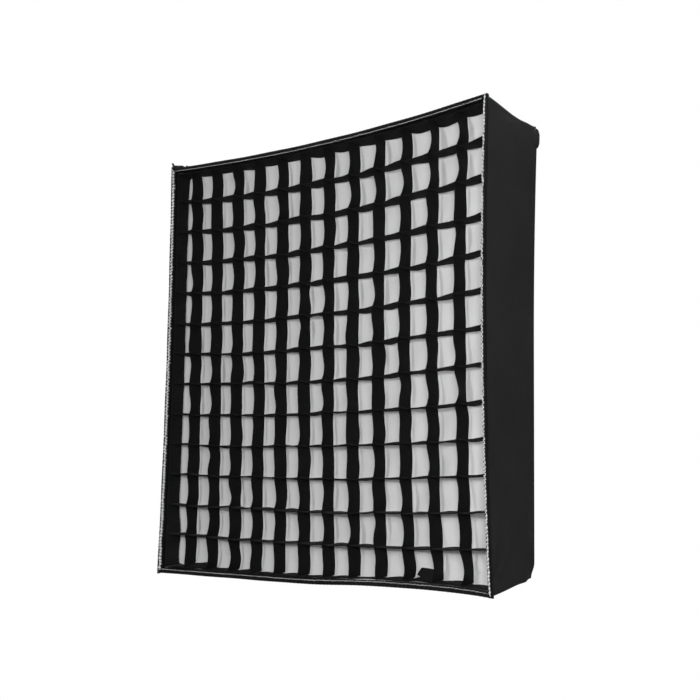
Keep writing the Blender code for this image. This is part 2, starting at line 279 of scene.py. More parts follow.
class Bench:
    """A node tree under construction: one material, or the studio's surroundings."""

    def __init__(self, name: str, world: bool = False) -> None:
        """Starts a node tree.

        Args:
            name: the material's name.
            world: makes surroundings with a bare background, not a material with a bare shader.
        """
        store = bpy.data.worlds if world else bpy.data.materials
        self.material = store.new(name)
        self.material.use_nodes = True
        self.tree = self.material.node_tree
        self.shader = self.tree.nodes["Background" if world else "Principled BSDF"]

    def node(self, kind: str, settings: dict[str, Any], sockets: dict[Any, Any]) -> bpy.types.Node:
        """Adds a node.

        Args:
            kind: Blender's type name of the node.
            settings: attributes, set before the sockets.
            sockets: values, wires or sockets by input name or number.
        Returns:
            The new node.
        """
        made = self.tree.nodes.new(kind)
        for key, value in settings.items():
            setattr(made, key, value)
        for key, value in sockets.items():
            self.feed(made.inputs[key], value)
        return made

    def feed(self, socket: bpy.types.NodeSocket, value: Any) -> None:
        """Links a wire or an output to a socket, or sets the socket's number.

        Args:
            socket: the input.
            value: a wire, an output, a number or a colour.
        """
        if isinstance(value, Wire):
            self.tree.links.new(value.socket, socket)
        elif isinstance(value, bpy.types.NodeSocket):
            self.tree.links.new(value, socket)
        else:
            socket.default_value = value

    def place(self) -> bpy.types.NodeSocket:
        """Object coordinates, in metres."""
        return self.node("ShaderNodeTexCoord", {}, {}).outputs["Object"]

    def cloth(self) -> tuple[Wire, Wire]:
        """The piece's own cloth coordinates, in metres."""
        uv = self.node("ShaderNodeUVMap", {"uv_map": "cloth"}, {}).outputs[0]
        parts = self.node("ShaderNodeSeparateXYZ", {}, {0: uv})
        return Wire(self, parts.outputs[0]), Wire(self, parts.outputs[1])

    def noise(self, scale: float, detail: float = 2.0, rough: float = 0.5,
              squeeze: Sequence[float] = (1, 1, 1), warp: float = 0.0) -> Wire:
        """Noise over object coordinates, about 0.5 on average.

        Args:
            scale: patches to a metre, roughly.
            detail: octaves of finer noise.
            rough: how strong each finer octave is.
            squeeze: scale along each axis first, which draws the noise out where it is below 1.
            warp: how far the noise bends itself.
        Returns:
            The noise's value.
        """
        point = self.place()
        if tuple(squeeze) != (1, 1, 1):
            point = self.node("ShaderNodeMapping", {}, {"Vector": point, "Scale": tuple(squeeze)}).outputs[0]
        made = self.node("ShaderNodeTexNoise", {}, {"Vector": point, "Scale": scale, "Detail": detail,
                                                    "Roughness": rough, "Distortion": warp})
        return Wire(self, made.outputs[0])

    def blend(self, share: Wire, low: Sequence[float], high: Sequence[float]) -> bpy.types.NodeSocket:
        """A colour between two.

        Args:
            share: 0 for the first colour, 1 for the second.
            low: the first colour.
            high: the second colour.
        Returns:
            The mixed colour's output.
        """
        mix = self.node("ShaderNodeMix", {"data_type": "RGBA"}, {0: share, 6: (*low, 1), 7: (*high, 1)})
        return mix.outputs[2]

    def bump(self, height: Wire, distance: float, strength: float = 1.0) -> None:
        """Feeds a height to the shader's normal.

        Args:
            height: the relief, in units of distance.
            distance: one unit, in metres.
            strength: how much of the relief counts.
        """
        made = self.node("ShaderNodeBump", {}, {"Height": height, "Distance": distance, "Strength": strength})
        self.feed(self.shader.inputs["Normal"], made.outputs[0])

    def surface(self, colour: Any, roughness: Any, **constants: float) -> None:
        """Sets the shader.

        Args:
            colour: a colour or an output.
            roughness: a number or a wire.
            constants: any other socket's number, its name written with _ for a space.
        """
        self.feed(self.shader.inputs["Base Color"], colour)
        self.feed(self.shader.inputs["Roughness"], roughness)
        for key, value in constants.items():
            self.shader.inputs[key.replace("_", " ")].default_value = value


@dataclass(frozen=True)
class Cloth:
    """Woven cloth: two sets of threads over and under, with soft mottling.

    The weave's height is the sine of one cloth coordinate times the sine of the other, and a band of
    ribs can run across it.

    Attributes:
        name: the material's name.
        dark: its darkest colour.
        light: its lightest colour.
        thread: pitch of the weave in metres.
        weave_height: relief of the weave in metres.
        rough: lowest and highest roughness.
        rib: pitch of the ribs in metres, 0 for none.
        rib_height: relief of the ribs in metres.
        mottle: scale of the broad colour patches.
        crease: relief of the creases in metres, 0 for none.
        sheen: sheen weight.
        specular: specular level.
    """

    name: str
    dark: tuple[float, float, float]
    light: tuple[float, float, float]
    thread: float = 0.0009
    weave_height: float = 0.00006
    rough: tuple[float, float] = (0.62, 0.8)
    rib: float = 0.0
    rib_height: float = 0.0
    mottle: float = 14.0
    crease: float = 0.0
    sheen: float = 0.0
    specular: float = 0.35

    def make(self) -> bpy.types.Material:
        """Builds the material: its colour and roughness run between their two ends by a share that adds
        up broad patches, fine patches and the weave.

        Returns:
            The material.
        """
        bench = Bench(self.name)
        u, v = bench.cloth()
        turn = 2 * pi / self.thread
        weave = (u * turn).sine() * (v * turn).sine()
        broad = bench.noise(self.mottle, 3.0, 0.55)
        fine = bench.noise(420.0, 2.0, 0.6)
        share = (broad - 0.5) * 1.5 + (fine - 0.5) * 0.6 + weave * 0.12 + 0.5
        height = weave * self.weave_height + (fine - 0.5) * (self.weave_height * 0.8)
        if self.rib:
            ribs = (v * (2 * pi / self.rib)).sine()
            height = height + ribs * self.rib_height
            share = share + ribs * 0.22
        if self.crease:
            folds = bench.noise(26.0, 4.0, 0.6, (1, 1, 0.45), 0.6)
            height = height + (folds - 0.5) * self.crease
        low, high = self.rough
        bench.surface(bench.blend(share.over(0, 1), self.dark, self.light),
                      share.over(0, 1) * (high - low) + low,
                      Sheen_Weight=self.sheen, Sheen_Roughness=0.45, Specular_IOR_Level=self.specular)
        bench.bump(height * PER_MILLIMETRE, MILLIMETRE)
        return bench.material


@dataclass(frozen=True)
class Moulded:
    """Hard stuff over object coordinates: a fine grain, drawn out if it is brushed, and rubbed lighter
    patches.

    Attributes:
        name: the material's name.
        dark: its darkest colour.
        light: its lightest colour, where it is rubbed.
        grain: scale of the grain.
        grain_height: relief of the grain in metres.
        rough: lowest and highest roughness.
        metallic: 1 for bare metal.
        brushed: draws the grain out along the height.
    """

    name: str
    dark: tuple[float, float, float]
    light: tuple[float, float, float]
    grain: float = 900.0
    grain_height: float = 0.00003
    rough: tuple[float, float] = (0.38, 0.55)
    metallic: float = 0.0
    brushed: bool = False

    def make(self) -> bpy.types.Material:
        """Builds the material: its colour and roughness run between their two ends by a share that adds
        up the rubbed patches and the grain.

        Returns:
            The material.
        """
        bench = Bench(self.name)
        grain = bench.noise(self.grain, 3.0, 0.6, (1, 1, 0.06) if self.brushed else (1, 1, 1))
        rubbed = bench.noise(60.0, 5.0, 0.65, warp=0.4)
        share = ((rubbed - 0.5) * 1.8 + (grain - 0.5) * 0.7 + 0.5).over(0, 1)
        low, high = self.rough
        bench.surface(bench.blend(share, self.dark, self.light), share * (high - low) + low,
                      Metallic=self.metallic, Specular_IOR_Level=0.45)
        bench.bump((grain - 0.5) * (self.grain_height * PER_MILLIMETRE), MILLIMETRE)
        return bench.material


NYLON = Cloth("black_nylon", dark=(0.0125, 0.0125, 0.0129), light=(0.0210, 0.0210, 0.0214),
              thread=0.0008, weave_height=0.00004, rough=(0.50, 0.66), mottle=9.0, crease=0.0008,
              sheen=0.02, specular=0.08)
WEBBING = Cloth("grid_webbing", dark=(0.0048, 0.0048, 0.0050), light=(0.0098, 0.0098, 0.0101),
                thread=0.0010, weave_height=0.00006, rough=(0.72, 0.9), mottle=30.0, crease=0.0007,
                sheen=0.02, specular=0.08)
BORDER = Cloth("border_webbing", dark=(0.0070, 0.0070, 0.0073), light=(0.0160, 0.0160, 0.0164),
               thread=0.0012, weave_height=0.00010, rough=(0.72, 0.9), rib=0.0038, rib_height=0.00026,
               mottle=34.0, crease=0.0007, specular=0.08)
HOOK_BAND = Cloth("hook_and_loop", dark=(0.010, 0.010, 0.0105), light=(0.021, 0.021, 0.022),
                  thread=0.0013, weave_height=0.00018, rough=(0.8, 0.95), rib=0.0042,
                  rib_height=0.00022, mottle=40.0, sheen=0.12, specular=0.2)
TAPE = Cloth("binding_tape", dark=(0.0050, 0.0050, 0.0053), light=(0.0105, 0.0105, 0.0108),
             thread=0.0011, weave_height=0.00008, rough=(0.5, 0.7), rib=0.0022, rib_height=0.00010,
             mottle=40.0, specular=0.10)
GREY_THREAD = Cloth("grey_thread", dark=(0.48, 0.48, 0.485), light=(0.70, 0.70, 0.705), thread=0.0007,
                    weave_height=0.00008, rough=(0.5, 0.7), rib=0.0008, rib_height=0.00005, mottle=50.0)
THREAD = Cloth("white_thread", dark=(0.82, 0.82, 0.83), light=(0.95, 0.95, 0.95), thread=0.0007,
               weave_height=0.00008, rough=(0.5, 0.7), rib=0.0008, rib_height=0.00005, mottle=50.0)
ELASTIC = Cloth("ribbed_elastic", dark=(0.0110, 0.0110, 0.0115), light=(0.021, 0.021, 0.022),
                thread=0.0012, weave_height=0.00008, rough=(0.7, 0.85), rib=0.0026, rib_height=0.00018,
                mottle=40.0, specular=0.3)
DIFFUSION = Cloth("diffusion_cloth", dark=(0.70, 0.70, 0.705), light=(0.78, 0.78, 0.785), thread=0.0009,
                  weave_height=0.00003, rough=(0.6, 0.78), mottle=6.0, crease=0.0009, sheen=0.1)
LINING = Cloth("silver_lining", dark=(0.46, 0.46, 0.48), light=(0.62, 0.62, 0.64), thread=0.0010,
               weave_height=0.00004, rough=(0.32, 0.5), mottle=16.0, crease=0.0014, specular=0.6)
PLASTIC = Moulded("grained_plastic", dark=(0.013, 0.013, 0.013), light=(0.024, 0.024, 0.025))
ALLOY = Moulded("anodised_alloy", dark=(0.020, 0.020, 0.022), light=(0.042, 0.042, 0.045), grain=700.0,
                grain_height=0.00002, rough=(0.28, 0.44), metallic=0.75, brushed=True)
STEEL = Moulded("zinc_steel", dark=(0.42, 0.42, 0.43), light=(0.60, 0.60, 0.61), grain=800.0,
                grain_height=0.00002, rough=(0.22, 0.4), metallic=1.0, brushed=True)
GLASS_FIBRE = Moulded("glass_fibre", dark=(0.055, 0.055, 0.052), light=(0.095, 0.095, 0.09), grain=500.0,
                      grain_height=0.00003, rough=(0.3, 0.5), brushed=True)


# --- the box's own coordinates --------------------------------------------------------------------


@dataclass
class Box:
    """Where the cloth lies: a square tube that narrows towards the back, with edges pulled inwards.

    A place is a side, a distance along its edge, a setback behind the rim and a depth inside the
    outer face.

    Attributes:
        rim_y: the front rim's plane.
        depth: rim to rear edge.
        front_half: half the width at the rim.
        rear_half: half the width at the rear edge.
        centre_z: height of the middle.
        top_narrowing: share of the width that the rim loses at its top and gains at its bottom.
        bow: how far each front edge is pulled in.
        top_skew: how lopsided the top edge's bow is.
        bottom_step: where the bottom edge's pull starts and over what share it grows.
        edge_dip: how far a corner edge dips between front and back, below and above the middle.
        dip_power: powers of the setback's share that move the two dips towards the back.
        corner_power: how soon a dip fades away from its corner edge.
        rear_tuck: how far the sides tuck in at the back.
        corner_reach: how far from a rear corner its rounding starts.
        corner_round: the rounding's step along each axis, below and above the middle.
        corner_back: share of that step taken along the depth.
        seam_gap: what two mitred pieces keep between them.
    """

    rim_y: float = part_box("rim_binding_top")[0].y
    depth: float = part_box("rear_hem_top")[1].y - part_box("rim_binding_top")[0].y
    front_half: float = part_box("rim_binding_right")[1].x - 0.0005
    rear_half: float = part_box("rear_hem_right")[1].x
    centre_z: float = (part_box("rim_binding_right")[0].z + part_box("rim_binding_right")[1].z) / 2
    top_narrowing: float = 0.0146
    bow: dict[Side, float] = field(default_factory=lambda: {
        Side.TOP: 0.0120, Side.RIGHT: 0.0080, Side.BOTTOM: 0.0050, Side.LEFT: 0.0045})
    top_skew: float = 0.12
    bottom_step: tuple[float, float] = (0.1, 0.6)
    edge_dip: tuple[float, float] = (0.0018, 0.0034)
    dip_power: tuple[float, float] = (2.2, 1.7)
    corner_power: int = 12
    rear_tuck: float = 0.0066
    corner_reach: float = 0.024
    corner_round: tuple[float, float] = (0.0044, 0.0016)
    corner_back: float = 0.8
    seam_gap: float = 0.0002

    def half(self, setback: Array) -> Array:
        """Outer half width at a setback."""
        return self.front_half + (self.rear_half - self.front_half) * setback / self.depth

    def pull(self, side: Side, along: Array, half: Array, setback: Array) -> Array:
        """How far an edge is pulled in, fading out at the back: a parabola along the edge, a little
        lopsided along the top, but along the bottom a slow step up towards its right end.

        Args:
            side: the edge's side.
            along: distance along the edge from its middle.
            half: half the edge's length.
            setback: distance behind the rim.
        Returns:
            The pull in metres.
        """
        fade = 1 - np.clip(setback / self.depth, 0, 1)
        share = np.clip(along / half, -1, 1)
        shape = 1 - share ** 2
        if side is Side.BOTTOM:
            start, width = self.bottom_step
            shape = ease((start - share) / width) * (1 - share ** 8)
        if side is Side.TOP:
            shape = shape * (1 + self.top_skew * share)
        return self.bow[side] * fade * shape

    def world(self, side: Side, along: Array, setback: Array, out: Array) -> Array:
        """World points of a side before it hangs: the top side's place turned about Y.

        Args:
            side: the side.
            along: distance along the edge from its middle.
            setback: distance behind the rim.
            out: distance out from the middle line.
        Returns:
            Points, three numbers to each.
        """
        turn = radians(side.value)
        x = along * cos(turn) + out * sin(turn)
        z = -along * sin(turn) + out * cos(turn)
        y = np.broadcast_to(self.rim_y + setback, x.shape)
        return np.stack([x, y, z + self.centre_z], -1)

    def hang(self, points: Array) -> Array:
        """How the cloth hangs: the front narrows to the top and widens to the bottom in proportion to
        height, the sides tuck in at the back below their upper half, each corner edge dips towards the
        back, and the rear corners are rounded off, the lower ones more, by a step that fades with the
        distance from the corner along each axis.

        Args:
            points: world points.
        Returns:
            The points, moved.
        """
        x, y, z = points[..., 0], points[..., 1], points[..., 2] - self.centre_z
        share = np.clip((y - self.rim_y) / self.depth, 0, 1)
        x = x * (1 - self.top_narrowing * z / self.front_half * (1 - share))
        tall = np.clip(z / self.rear_half, 0, 1)
        x = x - self.rear_tuck * share * (1 - tall ** 2) * x / self.rear_half
        dip = np.where(z < 0, *(depth * np.sin(pi * share ** power)
                                for depth, power in zip(self.edge_dip, self.dip_power)))
        corner = np.clip(np.minimum(np.abs(x), np.abs(z)) / self.rear_half, 0, 1) ** self.corner_power
        x, z = x - np.sign(x) * dip * corner, z - np.sign(z) * dip * corner
        near = [ease(1 - (end - np.abs(part)) / self.corner_reach)
                for end, part in ((self.rear_half, x), (self.rear_half, z), (self.depth, y - self.rim_y))]
        step = np.where(z < 0, *self.corner_round) * near[0] * near[1] * near[2]
        x, y, z = x - np.sign(x) * step, y - step * self.corner_back, z - np.sign(z) * step
        return np.stack([x, y, z + self.centre_z], -1)

    def place(self, side: Side, share: Array, setback: Array, inside: Array) -> Array:
        """Hung world points of a mitred piece.

        Args:
            side: the side.
            share: -1 at one corner to 1 at the other.
            setback: distance behind the rim.
            inside: distance inside the outer face.
        Returns:
            Points, three numbers to each.
        """
        half = self.half(setback) - inside
        along = share * (half - self.seam_gap)
        return self.hang(self.world(side, along, setback, half - self.pull(side, along, half, setback)))


BOX = Box()


def dress(piece: bpy.types.Object, finish: bpy.types.Material, slot: str, body: str,
          *nodes: str) -> bpy.types.Object:
    """Gives a piece its material and body.

    Args:
        piece: the new object.
        finish: its material.
        slot: its material slot; not used.
        body: the body that it rides on.
        nodes: the CAD nodes that it stands for.
    Returns:
        The same object.
    """
    piece.data.materials.clear()
    piece.data.materials.append(finish)
    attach(piece, body)
    if nodes:
        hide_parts(*nodes)
    log.info("%s rides on %s", piece.name, body)
    return piece


# --- the fabric box -------------------------------------------------------------------------------

CORNERS = ("top_right", "bottom_right", "bottom_left", "top_left")

# a corner rod from front to back: share of its length, and radius
ROD_PROFILE = ((0, 0.0006), (0.002, 0.0019), (0.02, 0.0024), (0.74, 0.0024), (0.745, 0.0031), (0.85, 0.0031),
               (0.862, 0.0026), (0.872, 0.0029), (0.884, 0.0026), (0.89, 0.0010))


@dataclass(frozen=True)
class Seam:
    """A row of stitches on the bound rim.

    Attributes:
        side: its side of the rim.
        band: the angles round the rim's outline that it runs between, in degrees.
        pitch: the length that a stitch takes up.
        radius: the thread's radius.
        lift: how far the thread's middle stands proud.
        wander: how far a stitch strays round the outline, in degrees.
    """

    side: Side
    band: tuple[float, float]
    pitch: float
    radius: float
    lift: float = 0.0003
    wander: float = 3.0


OVERLOCK_LEFT = Seam(Side.LEFT, (-86, -20), 0.0025, 0.00082, wander=7.0)
OVERLOCK_RIGHT = Seam(Side.RIGHT, (-106, -70), 0.0025, 0.00070, wander=5.0)
TOP_STITCH = Seam(Side.TOP, (-68, -54), 0.0032, 0.00042)
BOTTOM_STITCH = Seam(Side.BOTTOM, (-70, -54), 0.0032, 0.00042)


@dataclass
class Shell:
    """Walls, lining, rim binding with its stitching, hook bands, rear hem and corner trim.

    Attributes:
        wall: thickness of a wall.
        wall_ends: what a wall leaves free at the rim and at the rear edge.
        sewn_in: depth and reach of the quarter circle where two walls are sewn together.
        corner_share: how evenly a wall's points lie; the rest of them crowd towards the seams.
        lining_gap: what the lining's middle keeps from the wall.
        lining_thick: thickness of the lining.
        binding_depth: the bound rim's size along the depth.
        binding_width: its size across the rim.
        binding_proud: how far it stands outside the wall.
        hem_width: width of the rear hem.
        hem_thick: its thickness.
        gather: how far its inner edge ripples.
        hook_band: where the hook band starts and ends behind the rim.
        hook_band_thick: its thickness.
        ear_width: width of the crumpled tip of cloth.
        ear_thick: its thickness.
        rod_inset: from the CAD rod's box to its middle line.
        pocket_half: half the sizes of the pocket over a rod's end.
        pocket_at: its place out from the middle, ahead of the rear edge, and below the top edge.
        pocket_power: below 1 it squares the pocket's outline.
        diffuser_at: where the diffuser lies behind the rim.
        seed: start of the random draws.
    """

    wall: float = 0.0013
    wall_ends: tuple[float, float] = (0.006, 0.0012)
    sewn_in: tuple[float, float] = (0.0008, 0.0022)
    corner_share: float = 0.35
    lining_gap: float = 0.0013
    lining_thick: float = 0.0004
    binding_depth: float = 0.0085
    binding_width: dict[Side, float] = field(default_factory=lambda: {
        Side.TOP: 0.0078, Side.RIGHT: 0.0050, Side.BOTTOM: 0.0076, Side.LEFT: 0.0074})
    binding_proud: dict[Side, float] = field(default_factory=lambda: {
        Side.TOP: 0.0006, Side.RIGHT: 0.0006, Side.BOTTOM: 0.0016, Side.LEFT: 0.0034})
    hem_width: float = 0.0225
    hem_thick: float = 0.0011
    gather: float = 0.0010
    hook_band: tuple[float, float] = (0.0095, 0.0285)
    hook_band_thick: float = 0.0008
    ear_width: float = 0.042
    ear_thick: float = 0.0028
    rod_inset: float = 0.0028
    pocket_half: tuple[float, float, float] = (0.0047, 0.0078, 0.0140)
    pocket_at: tuple[float, float, float] = (0.3026, 0.0016, 0.0185)
    pocket_power: float = 0.75
    diffuser_at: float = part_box("diffuser")[0].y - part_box("rim_binding_top")[0].y
    seed: int = 11

    def wrinkle(self, side: Side, share: Array, setback: Array) -> Array:
        """Soft folds: two slow waves across a wall and pulls that fan out from its lower front corner,
        all fading at the seams.

        Args:
            side: the wall's side, which shifts the waves.
            share: -1 at one corner to 1 at the other.
            setback: distance behind the rim.
        Returns:
            Depth of the folds in metres.
        """
        phase = radians(side.value) * 1.7
        across, back = share * BOX.front_half, setback
        waves = 0.0004 * np.sin(across * 21 + back * 30 + phase)
        waves += 0.00022 * np.sin(across * 47 - back * 55 + 2.1 * phase)
        end = 1 - share if side is Side.RIGHT else 1 + share
        fan = np.arctan2(back + 0.004, end * BOX.front_half + 0.004)
        pulls = 0.0006 * np.sin(fan * 14 + phase) * bell(end * BOX.front_half, 0, 0.09)
        fade = ease((1 - np.abs(share)) * 9) * ease(back / 0.02) * ease((BOX.depth - back) / 0.02)
        return (waves + pulls) * fade

    def build_walls(self, finish: bpy.types.Material, lining: bpy.types.Material) -> None:
        """Four outer walls and, behind the diffuser, four panels of silver lining. A wall's surface is
        the box face with folds, tucked in by a quarter circle where two walls are sewn together, and its
        points crowd towards the seams.

        Args:
            finish: the walls' material.
            lining: the lining's material.
        """
        ear = self.build_ear(finish)
        even = np.linspace(-1, 1, 161)
        crowded = self.corner_share * even + (1 - self.corner_share) * np.sin(even * pi / 2)
        first, last = self.wall_ends
        depth, reach = self.sewn_in
        for side in Side:
            share, setback = mesh_grid(crowded, np.linspace(first, BOX.depth - last, 40))
            edge = (1 - np.abs(share)) * BOX.front_half
            tuck = depth * (1 - np.sqrt(1 - np.clip(1 - edge / reach, 0, 1) ** 2))
            inside = self.wall / 2 + BOX.seam_gap + tuck + self.wrinkle(side, share, setback)
            uv = np.stack([share * BOX.front_half, setback], -1)
            points = BOX.place(side, share, setback, inside)
            piece = sheet_solid(f"side_panel_{side.word}", points, uv, self.wall)
            dress(piece, finish, "black_fabric", "shell", f"wall_{side.word}")
            self.build_lining(side, lining)

    def build_lining(self, side: Side, finish: bpy.types.Material) -> None:
        """One panel of silver lining: the wall's folds with a fine ripple, the product of two sines.

        Args:
            side: the wall that it lies in.
            finish: its material.
        """
        share, setback = mesh_grid(np.linspace(-0.978, 0.978, 101),
                                   np.linspace(self.diffuser_at + 0.004, BOX.depth - 0.004, 26))
        ripple = 0.0004 * np.sin(share * 60 + setback * 90) * np.sin(setback * 70 + share * 9)
        inside = self.wall + self.lining_gap + self.wrinkle(side, share, setback) + np.abs(ripple)
        uv = np.stack([share * BOX.front_half, setback], -1)
        points = BOX.place(side, share, setback, inside)
        piece = sheet_solid(f"lining_{side.word}", points, uv, self.lining_thick)
        dress(piece, finish, "black_fabric", "shell")

    def build_ear(self, finish: bpy.types.Material) -> bpy.types.Object:
        """The crumpled tip of cloth that stands up at the top left front corner: a flap with a high end
        outside and a shoulder that falls inwards, waved across and curled forwards at its top.

        Args:
            finish: its material.
        Returns:
            The new piece.
        """
        along, up = mesh_grid(np.linspace(0, 1, 31), np.linspace(0, 1, 13))
        width = self.ear_width * (1 - 0.15 * up)
        x = -BOX.front_half * (1 - BOX.top_narrowing) - 0.0036 + along * width
        rise = up * (0.0034 + 0.0026 * bell(along, 0, 0.09) + 0.0066 * (1 - along) ** 1.3
                     + 0.0006 * np.sin(along * 21))
        z = BOX.centre_z + BOX.front_half - 0.0034 + rise - 0.0016 * along
        y = BOX.rim_y + 0.0050 - 0.0022 * up ** 2 + 0.0016 * np.sin(along * 13 + up * 3) * up
        uv = np.stack([along * 0.036, up * 0.012], -1)
        piece = sheet_solid("corner_ear", np.stack([x, y, z], -1), uv, self.ear_thick)
        return dress(piece, finish, "black_fabric", "shell")

    def section(self, side: Side, turn: Array, swell: Array) -> tuple[Array, Array]:
        """The bound rim's outline, a square with rounded corners: half a width times the signed power
        0.62 of cosine, and half a depth times the same of sine. A quarter turn back is the front face.

        Args:
            side: the rim's side.
            turn: angle round the outline.
            swell: how much fuller than its plain size it is.
        Returns:
            Distance inside the outer face, and setback.
        """
        wide, deep = signed_power(np.cos(turn), 0.62), signed_power(np.sin(turn), 0.62)
        inside = self.binding_width[side] / 2 * (1 + wide * swell) - self.binding_proud[side]
        return inside, self.binding_depth / 2 * (1 + deep * swell)

    def build_binding(self, tape: bpy.types.Material, thread: bpy.types.Material,
                      grey: bpy.types.Material) -> None:
        """Tape folded over each front edge, its section carried along the edge and swelling a little,
        and the stitches on it.

        Args:
            tape: the binding's material.
            thread: the overlock stitches' material.
            grey: the plain stitches' material.
        """
        for side in Side:
            share, turn = mesh_grid(np.linspace(-1, 1, 321), np.linspace(0, 2 * pi, 20, endpoint=False))
            swell = 1 + 0.03 * np.sin(share * BOX.front_half * 2 * pi / 0.0072)
            swell = swell + 0.04 * np.sin(share * 17 + radians(side.value))
            inside, setback = self.section(side, turn, swell)
            uv = np.stack([turn * 0.004, share * BOX.front_half], -1)
            piece = ring_solid(f"bound_rim_{side.word}", BOX.place(side, share, setback, inside), uv)
            dress(piece, tape, "binding_tape", "shell", f"rim_binding_{side.word}")
        for seam in (OVERLOCK_LEFT, OVERLOCK_RIGHT):
            self.build_stitches(seam, thread)
        for seam in (TOP_STITCH, BOTTOM_STITCH):
            self.build_stitches(seam, grey)

    def build_stitches(self, seam: Seam, thread: bpy.types.Material) -> None:
        """A row of zigzag stitches on the bound rim. Each is a plump rod, thickest in its middle, that
        crosses the seam's band from one edge to the other, and the next one crosses back.

        Args:
            seam: the row.
            thread: its material.
        """
        chance = np.random.default_rng(self.seed + seam.side.value)
        count, steps, around = int(2 * BOX.front_half / seam.pitch), 6, 6
        n, s, a = np.meshgrid(np.arange(count), np.linspace(-1, 1, steps),
                              np.linspace(0, 2 * pi, around, endpoint=False), indexing="ij")
        wander = chance.normal(0, 1, (2, count))
        sign = np.where(n % 2 == 0, 1.0, -1.0)
        low, high = seam.band
        turn = radians((low + high) / 2) + radians((high - low) / 2) * sign * s
        turn = turn + radians(seam.wander) * wander[0][n]
        plump = seam.radius * np.sqrt(np.clip(1.08 - s ** 2, 0.05, 1)) * (1 + 0.12 * wander[1][n])
        inside, setback = self.section(seam.side, turn, np.float64(1.02))
        width = abs(radians(high - low)) * self.binding_depth / 2
        slope = np.arctan2(width, seam.pitch) * sign
        out, over = seam.lift + plump * np.cos(a), plump * np.sin(a)
        along = ((n + 0.5 + s / 2) * seam.pitch - over * np.sin(slope)) / BOX.front_half - 1
        over = over * np.cos(slope)
        inside = inside + out * np.cos(turn) - over * np.sin(turn)
        setback = setback + out * np.sin(turn) + over * np.cos(turn)
        points = BOX.place(seam.side, np.clip(along, -0.999, 0.999), setback, inside).reshape(-1, 3)
        each = grid_quads(steps, around, wrap=True)
        ends = np.array([range(around), range((steps - 1) * around, steps * around)])
        ends[1] = ends[1][::-1]
        # the two leans mirror each other, so each is turned to face out by its own volume
        flip = [faces_inwards(points[k * steps * around:][:steps * around], each) for k in (2, 3)]
        shift = np.arange(count)[:, None, None] * steps * around
        turned = np.array(flip)[np.arange(count) % 2][:, None, None]
        quads = np.where(turned, each[None, :, ::-1], each[None]) + shift
        caps = np.where(turned, ends[None, :, ::-1], ends[None]) + shift
        uv = np.stack([s * 0.001, a * 0.0004], -1).reshape(-1, 2)
        faces = list(quads.reshape(-1, 4)) + list(caps.reshape(-1, around))
        piece = add_mesh(f"rim_stitches_{seam.side.word}", points, faces, uv)
        dress(piece, thread, "binding_tape", "shell")

    def build_hem(self, elastic: bpy.types.Material) -> None:
        """The elastic hem: a flat band turned in behind the box, whose inner edge ripples by the product
        of two sines.

        Args:
            elastic: its material.
        """
        for side in Side:
            share, across = mesh_grid(np.linspace(-1, 1, 221), np.linspace(0, 1, 9))
            gather = np.sin(share * 118 + radians(side.value)) * np.sin(share * 31)
            inside = 0.0004 + across * (self.hem_width + self.gather * gather)
            fade = ease((1 - np.abs(share)) * 20)
            setback = BOX.depth - 0.0009 - (0.0011 + self.gather * gather) * across ** 1.5 * fade
            points = BOX.place(side, share, setback, inside)
            uv = np.stack([inside, share * BOX.rear_half], -1)
            piece = sheet_solid(f"elastic_hem_{side.word}", points, uv, self.hem_thick)
            dress(piece, elastic, "elastic_hem", "shell", f"rear_hem_{side.word}")

    def build_hook_bands(self, finish: bpy.types.Material) -> None:
        """Hook-and-loop bands sewn round the inside of the walls, in front of the diffuser.

        Args:
            finish: their material.
        """
        for side in Side:
            share, setback = mesh_grid(np.linspace(-0.972, 0.972, 121), np.linspace(*self.hook_band, 8))
            inside = self.wall + 0.0011 + 0.0002 * np.sin(share * 90)
            points = BOX.place(side, share, setback, inside)
            uv = np.stack([setback, share * BOX.front_half], -1)
            piece = sheet_solid(f"hook_band_{side.word}", points, uv, self.hook_band_thick)
            dress(piece, finish, "black_fabric", "shell")

    def build_rods(self, fibre: bpy.types.Material) -> None:
        """The four corner rods, which hang as the cloth does: a round rod along each corner edge with a
        ball-ended ferrule at the back, as the rod's profile turned about the line between the ends of
        the CAD rod.

        Args:
            fibre: their material.
        """
        at, radius = np.array(ROD_PROFILE).T[:, :, None]
        turn = np.linspace(0, 2 * pi, 20, endpoint=False)
        for corner in CORNERS:
            low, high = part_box(f"corner_rod_{corner}")
            signs = (1 if "right" in corner else -1, 1 if "top" in corner else -1)
            outer = [pair[sign > 0] - sign * self.rod_inset
                     for pair, sign in zip(((low.x, high.x), (low.z, high.z)), signs)]
            inner = [pair[sign < 0] + sign * self.rod_inset
                     for pair, sign in zip(((low.x, high.x), (low.z, high.z)), signs)]
            start, end = np.array([outer[0], low.y, outer[1]]), np.array([inner[0], high.y, inner[1]])
            axis = (end - start) / np.linalg.norm(end - start)
            first = np.cross(axis, (0, 0, 1)) / np.linalg.norm(np.cross(axis, (0, 0, 1)))
            ring = np.cos(turn)[:, None] * first + np.sin(turn)[:, None] * np.cross(axis, first)
            rings = (start + at * (end - start))[:, None] + radius[:, None] * ring
            uv = np.stack(np.broadcast_arrays(turn[None] * 0.0024, at * BOX.depth), -1)
            piece = ring_solid(f"rod_{corner}", BOX.hang(rings), uv, 35)
            dress(piece, fibre, "glass_fibre", "shell", f"corner_rod_{corner}")

